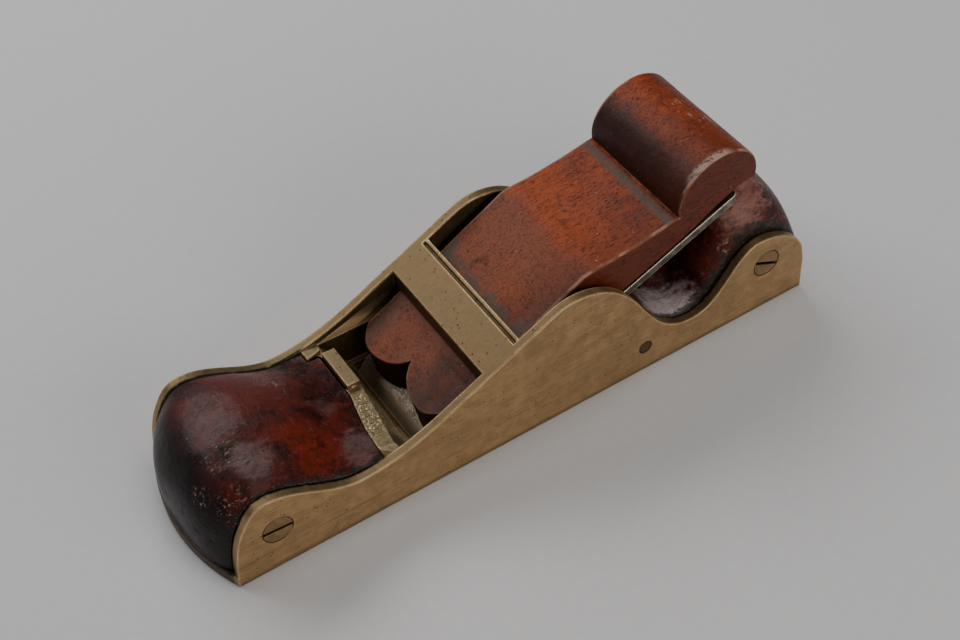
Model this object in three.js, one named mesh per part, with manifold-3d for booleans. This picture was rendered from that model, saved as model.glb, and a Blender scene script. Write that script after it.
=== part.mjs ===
// Bench plane with a gunmetal body, wooden infills, a single iron and a wooden wedge.
// Millimetres, +Z up.  The sole lies on z = 0, the toe points to -X and the heel to +X.
// The origin is under the middle of the object's box, on the sole.
import * as THREE from 'three';
import { mergeVertices } from 'three/addons/utils/BufferGeometryUtils.js';
import Module from 'manifold-3d';

const wasm = await Module();
wasm.setup();

// ---- driving dimensions ----------------------------------------------------------------

const PLATE_HALF = 100;                  // side plates run from -100 to +100
const TOE_BOW = 6.5;                     // the toe edge of the sole bows forward by this much
const BODY_HALF_WIDTH = 27.6;            // 2 3/16 in over the side plates
const SIDE_THICKNESS = 3.0;
const SOLE_THICKNESS = 4.0;
const HEEL_CHAMFER = 0.8;
const GAP = 0.3;                         // clearance between touching pieces
const INNER_HALF_WIDTH = BODY_HALF_WIDTH - SIDE_THICKNESS;
const WOOD_HALF_WIDTH = INNER_HALF_WIDTH - GAP;
const WOOD_BOTTOM = SOLE_THICKNESS + GAP;

const RIM_SLOPE_START = { x: -29.3, z: 25.9 };   // straight part of the rim, under the bridge
const RIM_SLOPE_END = { x: 0, z: 40.4 };

const IRON_PITCH = THREE.MathUtils.degToRad(22.8);
const IRON_TOP_POINT = { x: 35.6, z: 32.5 };     // a point on the iron's upper face
const IRON_THICKNESS = 2.8;
const IRON_HALF_WIDTH = 22.25;                   // 1 3/4 in iron
const IRON_TOP_END_X = 75.3;
const IRON_BEVEL_HEEL_X = -30.0;                 // where the bevel starts, on the upper face
const IRON_EDGE_HEIGHT = 0.2;                    // the edge is set just inside the sole
const IRON_CORNER_CHAMFER = 2.0;

const MOUTH_FRONT_X = -34.9;
const MOUTH_HALF_WIDTH = IRON_HALF_WIDTH + 0.35;

const WEDGE_HALF_WIDTH = 22.1;
const WEDGE_TOP_POINT = { x: 2.5, z: 36.6 };     // a point on the face that bears on the bridge
const WEDGE_TOP_SLOPE = Math.tan(THREE.MathUtils.degToRad(28.3));
const WEDGE_CHAMFER = 0.9;
const WEDGE_END_LEAN = THREE.MathUtils.degToRad(-11);
const KNOB_CENTRE = { x: 68.2, z: 54.0 };
const KNOB_LONG_RADIUS = 14.6;                   // along the iron
const KNOB_SHORT_RADIUS = 12.9;                  // square to the iron

const BRIDGE_FRONT_X = -16.4;
const BRIDGE_REAR_X = -5.4;
const BRIDGE_LIP_X = -3.4;

const SCREW_HEAD_RADIUS = 4.6;
const SCREW_SHANK_RADIUS = 2.3;
const SCREW_LENGTH = 15;
const SCREW_SLOT_WIDTH = 1.1;
const SCREW_SLOT_DEPTH = 1.1;
const FRONT_SCREW = { x: -85.6, z: 16 };
const REAR_SCREW = { x: 84.6, z: 19 };
const SLOT_ANGLES = { front: { near: -5, far: 38 }, rear: { near: -26, far: 12 } };
const PIN = { x: 39, z: 10, radius: 2.1 };

const PROFILE_STEPS = 16;                // steps on each curve of the side profile

// ---- small helpers -----------------------------------------------------------------------

const along = (point, slope, x) => point.z + (x - point.x) * slope;
const ironTopAt = (x) => along(IRON_TOP_POINT, Math.tan(IRON_PITCH), x);
const ironBottomAt = (x) => ironTopAt(x) - IRON_THICKNESS / Math.cos(IRON_PITCH);
const bedAt = (x) => ironBottomAt(x) - GAP / Math.cos(IRON_PITCH);
const wedgeBottomAt = (x) => ironTopAt(x) + GAP / Math.cos(IRON_PITCH);
const wedgeTopAt = (x) => along(WEDGE_TOP_POINT, WEDGE_TOP_SLOPE, x);
const rimSlope = (RIM_SLOPE_END.z - RIM_SLOPE_START.z) / (RIM_SLOPE_END.x - RIM_SLOPE_START.x);
const slopedRimAt = (x) => along(RIM_SLOPE_START, rimSlope, x);

function xOnPlane(heightAt, z) {
  const slope = heightAt(1) - heightAt(0);
  return (z - heightAt(0)) / slope;
}

function solidFrom(geometry) {
  const bare = geometry.clone();
  bare.deleteAttribute('normal');
  bare.deleteAttribute('uv');
  const merged = mergeVertices(bare, 1e-5);
  const mesh = new wasm.Mesh({
    numProp: 3,
    vertProperties: new Float32Array(merged.attributes.position.array),
    triVerts: new Uint32Array(merged.index.array),
  });
  return new wasm.Manifold(mesh);
}

function geometryFrom(solid) {
  const mesh = solid.getMesh();
  const geometry = new THREE.BufferGeometry();
  geometry.setAttribute('position', new THREE.BufferAttribute(new Float32Array(mesh.vertProperties), 3));
  geometry.setIndex(new THREE.BufferAttribute(new Uint32Array(mesh.triVerts), 1));
  geometry.computeVertexNormals();
  return geometry;
}

// An outline in the XZ plane, swept along Y from yFrom to yTo.
function sweepAcross(shape, yFrom, yTo, chamfer = 0) {
  const geometry = new THREE.ExtrudeGeometry(shape, {
    depth: yTo - yFrom - 2 * chamfer,
    curveSegments: PROFILE_STEPS,
    bevelEnabled: chamfer > 0,
    bevelThickness: chamfer,
    bevelSize: chamfer,
    bevelOffset: -chamfer,
    bevelSegments: 1,
  });
  geometry.rotateX(Math.PI / 2);
  geometry.translate(0, yTo - chamfer, 0);
  return solidFrom(geometry);
}

// An outline in the XY plane, raised from zFrom to zTo.
function raise(shape, zFrom, zTo) {
  const geometry = new THREE.ExtrudeGeometry(shape, {
    depth: zTo - zFrom,
    curveSegments: PROFILE_STEPS,
    bevelEnabled: false,
  });
  geometry.translate(0, 0, zFrom);
  return solidFrom(geometry);
}

function polygon(points) {
  return new THREE.Shape(points.map(([a, b]) => new THREE.Vector2(a, b)));
}

// Six times the signed volume inside a triangle mesh: negative when its faces point inwards.
function signedVolume(points, index) {
  let sum = 0;
  for (let t = 0; t < index.length; t += 3) {
    const [a, b, c] = [points[index[t]], points[index[t + 1]], points[index[t + 2]]];
    sum += a.dot(b.clone().cross(c));
  }
  return sum;
}

// A closed skin through rings of equal point count; the first and last ring are capped flat.
// flatten(point) gives the two coordinates in which the end rings are triangulated.
function loft(rings, flatten) {
  const count = rings[0].length;
  const points = rings.flat();
  const index = [];
  for (let r = 0; r + 1 < rings.length; r += 1) {
    for (let i = 0; i < count; i += 1) {
      const j = (i + 1) % count;
      const a = r * count + i;
      const b = r * count + j;
      index.push(a, b, b + count, a, b + count, a + count);
    }
  }
  const last = (rings.length - 1) * count;
  const turn = THREE.ShapeUtils.isClockWise(rings[0].map(flatten)) ? -1 : 1;
  const cap = (ring, offset, way) => {
    const outline = ring.map(flatten);
    if (turn < 0) outline.reverse();
    const place = (i) => offset + (turn < 0 ? count - 1 - i : i);
    for (const [a, b, c] of THREE.ShapeUtils.triangulateShape(outline, [])) {
      index.push(...(way * turn > 0 ? [place(a), place(b), place(c)] : [place(c), place(b), place(a)]));
    }
  };
  cap(rings[0], 0, -1);
  cap(rings.at(-1), last, 1);
  if (signedVolume(points, index) < 0) index.reverse();
  const geometry = new THREE.BufferGeometry().setFromPoints(points);
  geometry.setIndex(index);
  return geometry;
}

// ---- side profile -------------------------------------------------------------------------

// The toe crest, and the fall from it to the front dip.
function drawToeRim(path) {
  path.bezierCurveTo(-99.8, 10, -98.2, 18, -95.3, 22.5);
  path.bezierCurveTo(-93, 27, -90.5, 28.9, -87, 28.9);
  path.bezierCurveTo(-77, 28.9, -68, 17.9, -58, 17.9);
}

// The straight slope at the bridge, and the shoulder behind it.
function drawBridgeRim(path) {
  path.bezierCurveTo(-48, 17.9, -38, 21.6, RIM_SLOPE_START.x, RIM_SLOPE_START.z);
  path.lineTo(RIM_SLOPE_END.x, RIM_SLOPE_END.z);
  path.bezierCurveTo(5, 42.9, 9, 45.5, 14, 45.5);
  path.bezierCurveTo(24.5, 45.5, 31.5, 38.5, 36.5, 30.1);
}

// The rear dip and the heel crest.
function drawHeelRim(path) {
  path.bezierCurveTo(41, 22.3, 46, 11.8, 57, 11.8);
  path.bezierCurveTo(68, 11.8, 71.5, 29.7, 81.5, 29.7);
  path.bezierCurveTo(88.5, 29.7, 96.5, 25.5, 99, 18);
}

function sideOutline() {
  const shape = new THREE.Shape();
  shape.moveTo(-PLATE_HALF, 0);
  drawToeRim(shape);
  drawBridgeRim(shape);
  drawHeelRim(shape);
  shape.lineTo(PLATE_HALF, 12);
  shape.lineTo(PLATE_HALF, HEEL_CHAMFER);
  shape.lineTo(PLATE_HALF - HEEL_CHAMFER, 0);
  return shape;
}

// ---- body casting --------------------------------------------------------------------------

function soleSolid() {
  const shape = new THREE.Shape();
  shape.moveTo(-PLATE_HALF, BODY_HALF_WIDTH);
  shape.quadraticCurveTo(-PLATE_HALF - 2 * TOE_BOW, 0, -PLATE_HALF, -BODY_HALF_WIDTH);
  shape.lineTo(PLATE_HALF, -BODY_HALF_WIDTH);
  shape.lineTo(PLATE_HALF, BODY_HALF_WIDTH);
  return raise(shape, 0, SOLE_THICKNESS);
}

function sidePlates() {
  const outline = sideOutline();
  const near = sweepAcross(outline, -BODY_HALF_WIDTH, -INNER_HALF_WIDTH);
  const far = sweepAcross(outline, INNER_HALF_WIDTH, BODY_HALF_WIDTH);
  return near.add(far);
}

// The bridge is cast between the plates, flush with their sloping rims.  Its under face
// takes the wedge, and its rear edge carries a narrow lip behind a shallow groove.
function bridge() {
  const underAt = (x) => wedgeTopAt(x) + GAP / Math.cos(Math.atan(WEDGE_TOP_SLOPE));
  const grooveDepth = 0.7;
  const lipDrop = 0.25;
  const grooveWidth = 0.9;
  const shape = polygon([
    [BRIDGE_FRONT_X, underAt(BRIDGE_FRONT_X)],
    [BRIDGE_LIP_X + 0.2, underAt(BRIDGE_LIP_X + 0.2)],
    [BRIDGE_LIP_X, slopedRimAt(BRIDGE_LIP_X) - lipDrop],
    [BRIDGE_REAR_X + grooveWidth, slopedRimAt(BRIDGE_REAR_X + grooveWidth) - lipDrop],
    [BRIDGE_REAR_X + grooveWidth, slopedRimAt(BRIDGE_REAR_X) - grooveDepth],
    [BRIDGE_REAR_X + 0.2, slopedRimAt(BRIDGE_REAR_X) - grooveDepth],
    [BRIDGE_REAR_X, slopedRimAt(BRIDGE_REAR_X)],
    [BRIDGE_FRONT_X, slopedRimAt(BRIDGE_FRONT_X)],
  ]);
  return sweepAcross(shape, -INNER_HALF_WIDTH - 1, INNER_HALF_WIDTH + 1);
}

// The wall in front of the mouth.  Its ends swell into blocks level with the rims, its near
// half is lower and rough, and its far half still carries a proud straight bar.
function mouthWall() {
  const blockTop = 18.1;
  const wallTop = 17.2;
  const barTop = 19.3;
  const reach = INNER_HALF_WIDTH + 1;
  const frontEdge = [[-49.4, -reach], [-49.2, -19.5], [-48.6, -11], [-47.2, -3.5], [-46, 2], [-46, 19.6],
    [-50, 20.4], [-50.2, reach]];
  const rearEdge = [[-44.3, reach], [-44.3, 21.5], [-41.4, 19], [-41.4, 2], [-42.4, -6], [-43.6, -15],
    [-44.2, -20], [-44.2, -reach]];
  const mouthLand = 0.5;
  const footOf = ([x, y]) => [Math.max(MOUTH_FRONT_X - mouthLand, x), y];
  const ring = (points, z) => points.map(([x, y]) => new THREE.Vector3(x, y, z));
  const top = ring([...frontEdge, ...rearEdge], wallTop);
  const foot = ring([...frontEdge, ...rearEdge.map(footOf)], SOLE_THICKNESS - 1);
  const wall = solidFrom(loft([foot, top], (p) => new THREE.Vector2(p.x, p.y)));
  const nearBlock = polygon([[-49.4, -reach], [-44.2, -reach], [-44.2, -21.6], [-49.3, -20.2]]);
  const farBlock = polygon([[-50.2, reach], [-50, 20.6], [-44.9, 21.6], [-44.3, reach]]);
  const bar = polygon([[-45.7, 3.7], [-41.3, 3.7], [-41.3, 19.3], [-45.7, 19.3]]);
  return wall
    .add(raise(nearBlock, wallTop - 3, blockTop))
    .add(raise(farBlock, wallTop - 3, blockTop + 0.1))
    .add(raise(bar, wallTop - 3, barTop));
}

// The mouth: square in front, and behind it the sole is cut to the pitch of the iron.
function mouthCutter() {
  const below = -0.2;
  const above = SOLE_THICKNESS + 1;
  const shape = polygon([
    [MOUTH_FRONT_X, below],
    [xOnPlane(bedAt, below), below],
    [xOnPlane(bedAt, above), above],
    [MOUTH_FRONT_X, above],
  ]);
  return sweepAcross(shape, -MOUTH_HALF_WIDTH, MOUTH_HALF_WIDTH);
}

function bodyCasting() {
  let body = soleSolid().add(sidePlates()).add(bridge()).add(mouthWall()).subtract(mouthCutter());
  for (const side of [-1, 1]) {
    for (const screw of [FRONT_SCREW, REAR_SCREW]) {
      body = body.subtract(screwSolid(screw, side, GAP));
    }
  }
  return geometryFrom(body.subtract(pinSolid(GAP, BODY_HALF_WIDTH + 1)));
}

// ---- fastenings ------------------------------------------------------------------------------

// A countersunk wood screw driven in from one side plate (side is -1 near, +1 far).
// With a clearance it is the hole that the screw sits in.
function screwSolid({ x, z }, side, clearance = 0) {
  const head = SCREW_HEAD_RADIUS + clearance;
  const shank = SCREW_SHANK_RADIUS + clearance;
  const proud = clearance > 0 ? 1 : 0;
  const depth = SCREW_LENGTH + clearance;
  const profile = [
    [0, proud],
    [head, proud],
    [head, -0.9 - clearance],
    [shank, -3.4 - clearance],
    [shank, -depth + 2.5],
    [0, -depth],
  ].map(([r, h]) => new THREE.Vector2(r, h));
  const geometry = new THREE.LatheGeometry(profile.reverse(), 28);
  if (side < 0) geometry.rotateX(Math.PI);
  geometry.translate(x, side * BODY_HALF_WIDTH, z);
  return solidFrom(geometry);
}

function screwGeometry(screw, side, slotAngle) {
  const slot = new THREE.BoxGeometry(3 * SCREW_HEAD_RADIUS, 2 * SCREW_SLOT_DEPTH, SCREW_SLOT_WIDTH);
  slot.rotateY(-THREE.MathUtils.degToRad(slotAngle));
  slot.translate(screw.x, side * BODY_HALF_WIDTH, screw.z);
  return geometryFrom(screwSolid(screw, side).subtract(solidFrom(slot)));
}

// The rivet that crosses both plates and the rear infill.
function pinSolid(clearance = 0, halfLength = BODY_HALF_WIDTH) {
  const geometry = new THREE.CylinderGeometry(
    PIN.radius + clearance, PIN.radius + clearance, 2 * halfLength, 20);
  geometry.translate(PIN.x, 0, PIN.z);
  return solidFrom(geometry);
}

// ---- infills ---------------------------------------------------------------------------------

const ACROSS = [0, 0.18, 0.36, 0.54, 0.68, 0.78, 0.86, 0.93, 1];
const STATIONS = [...ACROSS.slice(1).reverse().map((s) => -s), ...ACROSS];

// A block between the plates, lofted across its width: at the plates its outline is `edge`,
// in the middle it is `crown`, and fullness(s, i) says how far towards the crown point i
// stands at the part s of the half width.
function infillBlock(edge, crown, floor, fullness) {
  const rings = STATIONS.map((s) => {
    const top = edge.map((e, i) => {
      const f = fullness(Math.abs(s), i);
      const c = crown[i];
      return new THREE.Vector3(
        THREE.MathUtils.lerp(e.x, c.x, f),
        s * WOOD_HALF_WIDTH,
        THREE.MathUtils.lerp(e.y, c.y, f),
      );
    });
    return [...top, ...floor.map(([x, z]) => new THREE.Vector3(x, s * WOOD_HALF_WIDTH, z))];
  });
  return solidFrom(loft(rings, (p) => new THREE.Vector2(p.x, p.z)));
}

function samplePath(draw, start, count) {
  const path = new THREE.Path();
  path.moveTo(...start);
  draw(path);
  return path.getSpacedPoints(count - 1);
}

function frontInfill() {
  const count = 34;
  const rear = -50.8;
  const edge = samplePath((path) => {
    drawToeRim(path);
    path.lineTo(rear, 17.6);
  }, [-99.9, WOOD_BOTTOM], count);
  const crown = samplePath((path) => {
    path.bezierCurveTo(-106.3, 13, -105.6, 19, -102, 24);
    path.bezierCurveTo(-98, 29.8, -92, 33, -85, 33);
    path.bezierCurveTo(-74, 33, -66, 28, -58, 23);
    path.bezierCurveTo(-54, 20.5, -50, 19, rear + 3.8, 18);
  }, [-105.9, WOOD_BOTTOM], count);
  const floor = [[rear + 3.8, WOOD_BOTTOM]];
  const block = infillBlock(edge, crown, floor, (s) => (1 - s ** 2.4) ** 0.8);
  let wood = block.subtract(mouthWallClearance());
  for (const side of [-1, 1]) wood = wood.subtract(screwSolid(FRONT_SCREW, side, GAP));
  return geometryFrom(wood);
}

// The space that the mouth wall takes up, with a clearance, as seen from above.
function mouthWallClearance() {
  const reach = INNER_HALF_WIDTH + 1;
  return raise(polygon([
    [-49.8, -reach], [-49.6, -19.3], [-49, -11], [-47.6, -3.3], [-46.4, 2], [-46.4, 19.2],
    [-50.4, 20], [-50.6, reach], [-30, reach], [-30, -reach],
  ]), 0, 60);
}

// The wood under the iron ends in a valley that runs across the body between the two dips of
// the rims.  Behind the valley it swells to a hump, and the iron's end rests on that too.
function rearInfill() {
  const foot = xOnPlane(bedAt, WOOD_BOTTOM);
  const meetX = 36.8;
  const meet = [meetX, bedAt(meetX)];
  const bedAgain = 72.5;
  const bedEnd = 76.5;
  const heel = PLATE_HALF - 0.1;
  const bedCount = 6;
  const flankCount = 34;
  const bed = Array.from({ length: bedCount }, (_, i) => {
    const x = THREE.MathUtils.lerp(foot, meetX, i / bedCount);
    return new THREE.Vector2(x, bedAt(x));
  });
  const edge = samplePath((path) => {
    drawHeelRim(path);
    path.lineTo(heel - 0.3, 12);
    path.lineTo(heel - 0.3, WOOD_BOTTOM);
  }, meet, flankCount);
  const crown = samplePath((path) => {
    path.bezierCurveTo(41.5, 23.5, 46, 13.4, 55, 13.4);
    path.bezierCurveTo(64, 13.4, 67, 36, bedAgain, bedAt(bedAgain));
    path.lineTo(bedEnd, bedAt(bedEnd));
    path.bezierCurveTo(84, 47, 93, 41, 97.5, 33);
    path.bezierCurveTo(99.4, 29, heel, 24, heel, 18);
    path.lineTo(heel, WOOD_BOTTOM);
  }, meet, flankCount);
  const fullness = (s, i) => (i < bedCount ? 1 : (1 - s ** 3) ** 0.6);
  const block = infillBlock([...bed, ...edge], [...bed, ...crown], [], fullness);
  let wood = block.subtract(pinSolid(GAP, BODY_HALF_WIDTH + 1));
  for (const side of [-1, 1]) wood = wood.subtract(screwSolid(REAR_SCREW, side, GAP));
  return geometryFrom(wood);
}

// ---- iron ----------------------------------------------------------------------------------

function cuttingIron() {
  const edgeX = xOnPlane(ironBottomAt, IRON_EDGE_HEIGHT);
  const endShift = IRON_THICKNESS * Math.sin(IRON_PITCH);
  const profile = polygon([
    [edgeX, IRON_EDGE_HEIGHT],
    [IRON_TOP_END_X + endShift, ironBottomAt(IRON_TOP_END_X + endShift)],
    [IRON_TOP_END_X, ironTopAt(IRON_TOP_END_X)],
    [IRON_BEVEL_HEEL_X, ironTopAt(IRON_BEVEL_HEEL_X)],
  ]);
  const end = IRON_TOP_END_X + endShift + 1;
  const plan = polygon([
    [edgeX - 1, -IRON_HALF_WIDTH],
    [end - 1 - IRON_CORNER_CHAMFER, -IRON_HALF_WIDTH],
    [end, -IRON_HALF_WIDTH + IRON_CORNER_CHAMFER],
    [end, IRON_HALF_WIDTH - IRON_CORNER_CHAMFER],
    [end - 1 - IRON_CORNER_CHAMFER, IRON_HALF_WIDTH],
    [edgeX - 1, IRON_HALF_WIDTH],
  ]);
  const bar = sweepAcross(profile, -IRON_HALF_WIDTH, IRON_HALF_WIDTH);
  return geometryFrom(bar.intersect(raise(plan, -5, 80)));
}

// ---- wedge -----------------------------------------------------------------------------------

// A point of the knob's end profile, an ellipse with its long axis along the iron.
function knobPoint(angle) {
  const u = KNOB_LONG_RADIUS * Math.cos(angle);
  const v = KNOB_SHORT_RADIUS * Math.sin(angle);
  return {
    x: KNOB_CENTRE.x + u * Math.cos(IRON_PITCH) - v * Math.sin(IRON_PITCH),
    z: KNOB_CENTRE.z + u * Math.sin(IRON_PITCH) + v * Math.cos(IRON_PITCH),
  };
}

function wedgeOutline() {
  const tip = -36;
  const shape = new THREE.Shape();
  const knobStart = THREE.MathUtils.degToRad(-32);
  const knobEnd = THREE.MathUtils.degToRad(171);
  const first = knobPoint(knobStart);
  shape.moveTo(tip, wedgeBottomAt(tip));
  shape.lineTo(57, wedgeBottomAt(57));
  shape.lineTo(70, wedgeBottomAt(70) + 1.2);
  shape.quadraticCurveTo(77, wedgeBottomAt(77) + 1.9, first.x, first.z);
  shape.absellipse(KNOB_CENTRE.x, KNOB_CENTRE.z, KNOB_LONG_RADIUS, KNOB_SHORT_RADIUS,
    knobStart, knobEnd, false, IRON_PITCH);
  shape.quadraticCurveTo(53.4, 51, 50.5, 50.3);
  shape.bezierCurveTo(44, 49, 36, 47.6, 27.5, 47.3);
  shape.quadraticCurveTo(23.5, 47.1, 20.5, wedgeTopAt(20.5));
  shape.lineTo(tip, wedgeTopAt(tip));
  return shape;
}

// The plan of the wedge: its lower end is cut to two rounded lobes with a notch between.
function wedgePlan() {
  const lobe = -31.4;
  const notch = -24.0;
  const shape = new THREE.Shape();
  const w = WEDGE_HALF_WIDTH + 1;
  shape.moveTo(95, -w);
  shape.lineTo(95, w);
  shape.lineTo(-24.5, w);
  shape.bezierCurveTo(-27.5, 20.8, lobe, 18.5, lobe, 13.5);
  shape.bezierCurveTo(lobe, 8, -29, 2, notch, 0);
  shape.bezierCurveTo(-29, -2, lobe, -8, lobe, -13.5);
  shape.bezierCurveTo(lobe, -18.5, -27.5, -20.8, -24.5, -w);
  return shape;
}

function wedge() {
  const bar = sweepAcross(wedgeOutline(), -WEDGE_HALF_WIDTH, WEDGE_HALF_WIDTH, WEDGE_CHAMFER);
  const cutter = new THREE.ExtrudeGeometry(wedgePlan(), {
    depth: 140, curveSegments: PROFILE_STEPS, bevelEnabled: false,
  });
  const hinge = { x: -30, z: 10 };
  cutter.translate(-hinge.x, 0, -40);
  cutter.rotateY(WEDGE_END_LEAN);
  cutter.translate(hinge.x, 0, hinge.z);
  return geometryFrom(bar.intersect(solidFrom(cutter)));
}

// ---- assembly --------------------------------------------------------------------------------

const gunmetal = () => new THREE.MeshStandardMaterial({ color: 0x9c8258, roughness: 0.42, metalness: 1 });
const screwBrass = () => new THREE.MeshStandardMaterial({ color: 0x7d6845, roughness: 0.5, metalness: 1 });
const infillWood = () => new THREE.MeshStandardMaterial({ color: 0x3d1a14, roughness: 0.3, metalness: 0 });
const wedgeWood = () => new THREE.MeshStandardMaterial({ color: 0x7c3a20, roughness: 0.45, metalness: 0 });
const steel = () => new THREE.MeshStandardMaterial({ color: 0x8d8780, roughness: 0.4, metalness: 1 });

const plane = new THREE.Group();
plane.name = 'hand_plane';
plane.position.x = TOE_BOW / 2;

function place(name, geometry, material) {
  const mesh = new THREE.Mesh(geometry, material);
  mesh.name = name;
  plane.add(mesh);
}

place('body_casting', bodyCasting(), gunmetal());
place('front_infill', frontInfill(), infillWood());
place('rear_infill', rearInfill(), infillWood());
place('cutting_iron', cuttingIron(), steel());
place('wedge', wedge(), wedgeWood());
place('cross_pin', geometryFrom(pinSolid()), screwBrass());
for (const [sideName, side] of [['near', -1], ['far', 1]]) {
  for (const [endName, screw] of [['front', FRONT_SCREW], ['rear', REAR_SCREW]]) {
    const slotAngle = SLOT_ANGLES[endName][sideName];
    place(`${endName}_screw_${sideName}`, screwGeometry(screw, side, slotAngle), screwBrass());
  }
}

export default plane;
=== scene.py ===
"""Looks of a small smoothing plane: gunmetal body, dark polished infills, iron and wooden wedge.

Lengths here are millimetres, but the camera, the lights and the floor are placed in metres.
Outlines and the places on materials count x from the middle of the side plates, as the plates
do; MIDDLE moves them to the frame's own origin.
"""
import math

import bmesh
import bpy
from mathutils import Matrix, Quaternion, Vector, noise


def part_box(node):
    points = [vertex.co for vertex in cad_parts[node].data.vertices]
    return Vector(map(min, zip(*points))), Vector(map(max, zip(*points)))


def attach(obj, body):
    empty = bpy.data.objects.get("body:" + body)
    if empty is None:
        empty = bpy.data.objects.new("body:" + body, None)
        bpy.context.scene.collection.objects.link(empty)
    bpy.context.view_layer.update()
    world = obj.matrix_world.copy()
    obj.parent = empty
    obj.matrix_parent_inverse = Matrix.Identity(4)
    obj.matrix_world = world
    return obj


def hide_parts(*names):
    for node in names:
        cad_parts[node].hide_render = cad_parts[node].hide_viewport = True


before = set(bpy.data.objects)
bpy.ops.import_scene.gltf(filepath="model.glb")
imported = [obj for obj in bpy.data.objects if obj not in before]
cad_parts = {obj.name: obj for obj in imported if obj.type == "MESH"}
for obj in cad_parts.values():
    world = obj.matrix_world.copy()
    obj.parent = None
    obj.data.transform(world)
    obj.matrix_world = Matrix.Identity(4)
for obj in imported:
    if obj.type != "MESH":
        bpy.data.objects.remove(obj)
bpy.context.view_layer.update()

MM = 0.001
PLATE_HALF = 100.0
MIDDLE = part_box("body_casting")[1].x / MM - PLATE_HALF
SIDE_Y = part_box("body_casting")[1].y / MM
INNER_Y = SIDE_Y - 3.0
WOOD_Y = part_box("front_infill")[1].y / MM
WOOD_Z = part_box("front_infill")[0].z / MM
WEDGE_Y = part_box("wedge")[1].y / MM
SCREWS = {"front": (-85.6, 16.0), "rear": (84.6, 19.0)}
PIN = (39.0, 10.0)


# ---- camera, floor and light -------------------------------------------------------------

def make_camera():
    data = bpy.data.cameras.new("camera")
    data.lens = 62.15
    data.sensor_width = 36.0
    camera = bpy.data.objects.new("camera", data)
    camera.location = (-0.16214, -0.29065, 0.38504)
    aim = Vector((0.01205, 0.01876, 0.0))
    roll = math.radians(-4.47)
    facing = (aim - camera.location).to_track_quat("-Z", "Y")
    camera.rotation_mode = "QUATERNION"
    camera.rotation_quaternion = facing @ Quaternion((0, 0, 1), roll)
    bpy.context.scene.collection.objects.link(camera)
    bpy.context.scene.camera = camera


def area_light(name, place, aim, size, power, colour):
    data = bpy.data.lights.new(name, "AREA")
    data.shape = "RECTANGLE"
    data.size, data.size_y = size
    data.energy = power
    data.color = colour
    light = bpy.data.objects.new(name, data)
    light.location = place
    light.rotation_euler = (Vector(aim) - Vector(place)).to_track_quat("-Z", "Y").to_euler()
    bpy.context.scene.collection.objects.link(light)


def make_studio():
    mesh = bpy.data.meshes.new("floor")
    reach = 3.0
    mesh.from_pydata([(-reach, -reach, 0), (reach, -reach, 0), (reach, reach, 0), (-reach, reach, 0)],
                     [], [(0, 1, 2, 3)])
    floor = bpy.data.objects.new("floor", mesh)
    look = Look("floor_paper")
    grain = look.noise(3.0, detail=3)
    look.finish(look.mix((0.66, 0.66, 0.67), (0.72, 0.72, 0.73), grain), 0.75)
    mesh.materials.append(look.material)
    bpy.context.scene.collection.objects.link(floor)
    world = bpy.data.worlds.new("studio")
    world.use_nodes = True
    world.node_tree.nodes["Background"].inputs["Color"].default_value = (0.85, 0.9, 1.0, 1)
    world.node_tree.nodes["Background"].inputs["Strength"].default_value = 0.08
    bpy.context.scene.world = world
    area_light("back_softbox", (-0.15, 0.85, 0.75), (0, 0, 0.02), (1.3, 0.5), 8.0, (1.0, 0.98, 0.97))
    area_light("overhead", (0.25, -0.1, 1.3), (0, 0, 0.02), (0.8, 0.8), 4.6, (1.0, 0.97, 0.93))
    area_light("front_fill", (0.35, -1.1, 0.45), (0, 0, 0.02), (1.2, 0.5), 6.6, (1.0, 0.95, 0.89))


# ---- material building -------------------------------------------------------------------

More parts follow.
